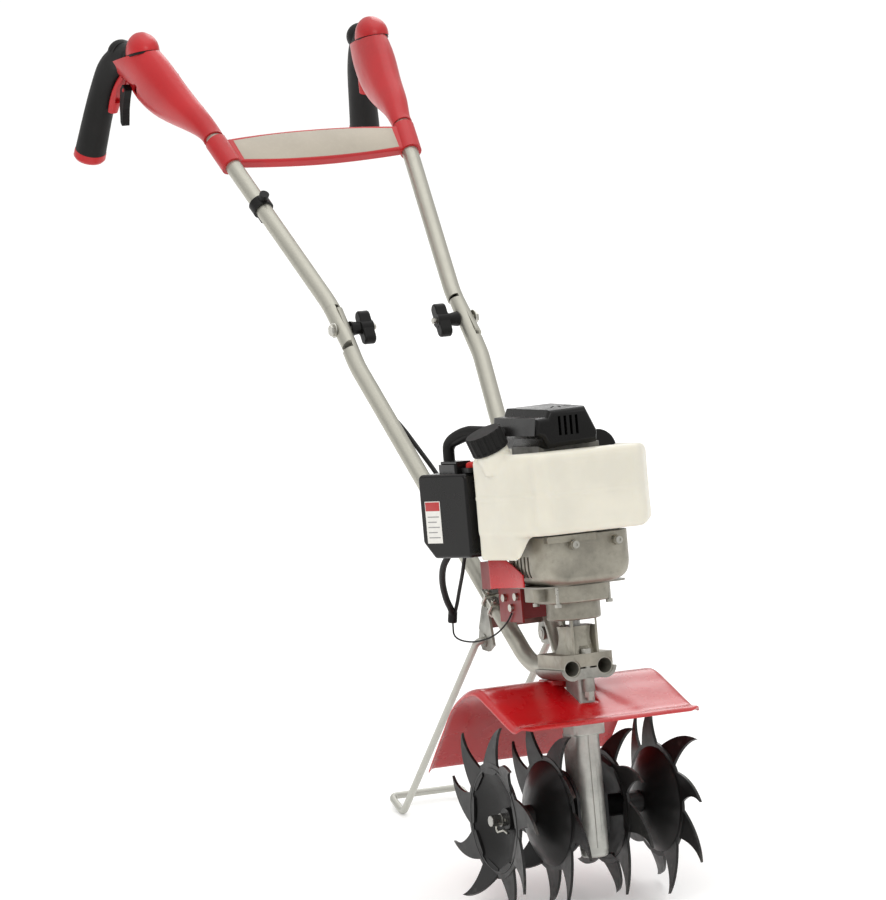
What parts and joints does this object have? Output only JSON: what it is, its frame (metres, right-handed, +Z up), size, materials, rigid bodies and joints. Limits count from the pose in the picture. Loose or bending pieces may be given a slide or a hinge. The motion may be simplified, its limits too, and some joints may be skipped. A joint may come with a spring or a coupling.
{
  "type": "garden tiller",
  "caption": "Small petrol garden tiller with worm-driven tines, folding handlebars, throttle grip and a swing-down kickstand.",
  "frame": {"origin": "centre of the overall bounding box on the ground plane, standing on the tines and the kickstand", "axes": "+Z up, +Y from the tines toward the handle grips, X along the tine axle"},
  "size_m": [0.447, 1.242, 0.9459],
  "materials": {
    "gear_housing": "satin",
    "gear_side_covers": "matte",
    "bearings": "satin",
    "worm_shaft": "satin",
    "clutch_drum": "satin",
    "tine_axle": "satin",
    "worm_wheel": "satin",
    "tine_outer_left": "satin",
    "tine_inner_left": "satin",
    "tine_inner_right": "satin",
    "tine_outer_right": "satin",
    "hitch_pins": "satin",
    "neck_housing": "matte",
    "lower_clamp": "matte",
    "lower_handle_left": "satin",
    "lower_handle_right": "satin",
    "upper_handle_left": "satin",
    "upper_handle_right": "satin",
    "fold_knob_left": "satin",
    "fold_knob_right": "satin",
    "fender": "gloss",
    "fan_case": "matte",
    "crankcase": "matte",
    "cylinder": "matte",
    "rocker_cover": "satin",
    "piston": "satin",
    "connecting_rod": "satin",
    "crankshaft": "satin",
    "flywheel": "matte",
    "clutch_shoes": "matte",
    "engine_bracket": "gloss",
    "fuel_tank": "satin",
    "fuel_cap": "satin",
    "carburetor": "matte",
    "air_cleaner_cover": "satin",
    "air_filter": "matte",
    "primer_bulb": "satin",
    "air_cleaner_base": "satin",
    "choke_lever": "satin",
    "muffler": "matte",
    "muffler_shield": "satin",
    "spark_plug": "satin",
    "wiring": "satin",
    "recoil_case": "satin",
    "starter_grip": "matte",
    "starter_rope": "matte",
    "fuel_hoses": "satin",
    "throttle_cable": "satin",
    "kickstand": "satin",
    "kickstand_bracket": "satin",
    "kickstand_ubolts": "satin",
    "handle_head_left": "gloss",
    "handle_head_right": "gloss",
    "throttle_trigger": "satin",
    "rubber_grips": "matte",
    "cross_brace": "gloss",
    "brace_panel": "satin",
    "cable_clip": "satin",
    "stop_switch": "satin",
    "frame_bolts": "satin"
  },
  "bodies": {
    "frame": {"gear_housing": "gear_housing", "gear_side_covers": "gear_side_covers", "bearings": "bearings", "neck_housing": "neck_housing", "lower_clamp": "lower_clamp", "lower_handle_left": "lower_handle_left", "lower_handle_right": "lower_handle_right", "fender": "fender", "fan_case": "fan_case", "crankcase": "crankcase", "cylinder": "cylinder", "rocker_cover": "rocker_cover", "piston": "piston", "connecting_rod": "connecting_rod", "engine_bracket": "engine_bracket", "fuel_tank": "fuel_tank", "carburetor": "carburetor", "air_filter": "air_filter", "air_cleaner_base": "air_cleaner_base", "muffler": "muffler", "muffler_shield": "muffler_shield", "spark_plug": "spark_plug", "wiring": "wiring", "recoil_case": "recoil_case", "starter_rope": "starter_rope", "fuel_hoses": "fuel_hoses", "throttle_cable": "throttle_cable", "kickstand_bracket": "kickstand_bracket", "kickstand_ubolts": "kickstand_ubolts", "frame_bolts": "frame_bolts"},
    "tines": {"tine_axle": "tine_axle", "worm_wheel": "worm_wheel", "tine_outer_left": "tine_outer_left", "tine_inner_left": "tine_inner_left", "tine_inner_right": "tine_inner_right", "tine_outer_right": "tine_outer_right", "hitch_pins": "hitch_pins"},
    "worm": {"worm_shaft": "worm_shaft", "clutch_drum": "clutch_drum"},
    "crank": {"crankshaft": "crankshaft", "flywheel": "flywheel", "clutch_shoes": "clutch_shoes"},
    "handlebar": {"upper_handle_left": "upper_handle_left", "upper_handle_right": "upper_handle_right", "handle_head_left": "handle_head_left", "handle_head_right": "handle_head_right", "rubber_grips": "rubber_grips", "cross_brace": "cross_brace", "brace_panel": "brace_panel", "cable_clip": "cable_clip"},
    "knob_left": {"fold_knob_left": "fold_knob_left"},
    "knob_right": {"fold_knob_right": "fold_knob_right"},
    "trigger": {"throttle_trigger": "throttle_trigger"},
    "switch": {"stop_switch": "stop_switch"},
    "choke": {"choke_lever": "choke_lever"},
    "pull_grip": {"starter_grip": "starter_grip"},
    "cap": {"fuel_cap": "fuel_cap"},
    "primer": {"primer_bulb": "primer_bulb"},
    "stand": {"kickstand": "kickstand"},
    "air_cover": {"air_cleaner_cover": "air_cleaner_cover"}
  },
  "joints": [
    {"name": "tine_spin", "type": "hinge", "parent": "frame", "child": "tines", "pos_m": [0, -0.50221, 0.11976], "axis": [1, 0, 0], "continuous": true},
    {"name": "worm_spin", "type": "hinge", "parent": "frame", "child": "worm", "pos_m": [0, -0.54213, 0.12912], "axis": [0, 0.2284, 0.9736], "continuous": true},
    {"name": "crank_spin", "type": "hinge", "parent": "frame", "child": "crank", "pos_m": [0, -0.54213, 0.12912], "axis": [0, 0.2284, 0.9736], "continuous": true},
    {"name": "handle_fold", "type": "hinge", "parent": "frame", "child": "handlebar", "pos_m": [0, 0.01866, 0.62825], "axis": [1, 0, 0], "range_deg": [0, 145], "deforming": ["throttle_cable"]},
    {"name": "knob_left_turn", "type": "hinge", "parent": "frame", "child": "knob_left", "pos_m": [-0.088, 0.01866, 0.62825], "axis": [1, 0, 0], "continuous": true},
    {"name": "knob_right_turn", "type": "hinge", "parent": "frame", "child": "knob_right", "pos_m": [0.088, 0.01866, 0.62825], "axis": [1, 0, 0], "continuous": true},
    {"name": "trigger_squeeze", "type": "hinge", "parent": "handlebar", "child": "trigger", "pos_m": [-0.177, 0.52478, 0.86384], "axis": [1, 0, 0], "range_deg": [0, 14], "stiffness_Nm_per_rad": 0.3, "springref_deg": -14.32},
    {"name": "stop_slide", "type": "slide", "parent": "handlebar", "child": "switch", "axis": [0, 0.8402, 0.5422], "range_m": [0, 0.006]},
    {"name": "choke_turn", "type": "hinge", "parent": "frame", "child": "choke", "pos_m": [-0.07, -0.35283, 0.48428], "axis": [0, 0.9736, -0.2284], "range_deg": [0, 70]},
    {"name": "starter_pull", "type": "slide", "parent": "frame", "child": "pull_grip", "axis": [0, 0.9283, 0.3718], "range_m": [0, 0.5], "stiffness_N_per_m": 12, "springref_m": -1.2, "deforming": ["starter_rope"]},
    {"name": "cap_turn", "type": "hinge", "parent": "frame", "child": "cap", "pos_m": [-0.099, -0.46606, 0.56733], "axis": [-0.4001, 0.1603, 0.9024], "range_deg": [0, 270]},
    {"name": "primer_press", "type": "slide", "parent": "frame", "child": "primer", "axis": [0, -0.2284, -0.9736], "range_m": [0, 0.0027], "stiffness_N_per_m": 600, "springref_m": -0.002},
    {"name": "stand_fold", "type": "hinge", "parent": "frame", "child": "stand", "pos_m": [0, -0.32237, 0.29533], "axis": [1, 0, 0], "range_deg": [0, 88]},
    {"name": "air_cover_off", "type": "slide", "parent": "frame", "child": "air_cover", "axis": [-1, 0, 0], "range_m": [0, 0.06]}
  ],
  "couplings": [
    {"joint": "worm_spin", "follows": "tine_spin", "ratio": 30}
  ]
}
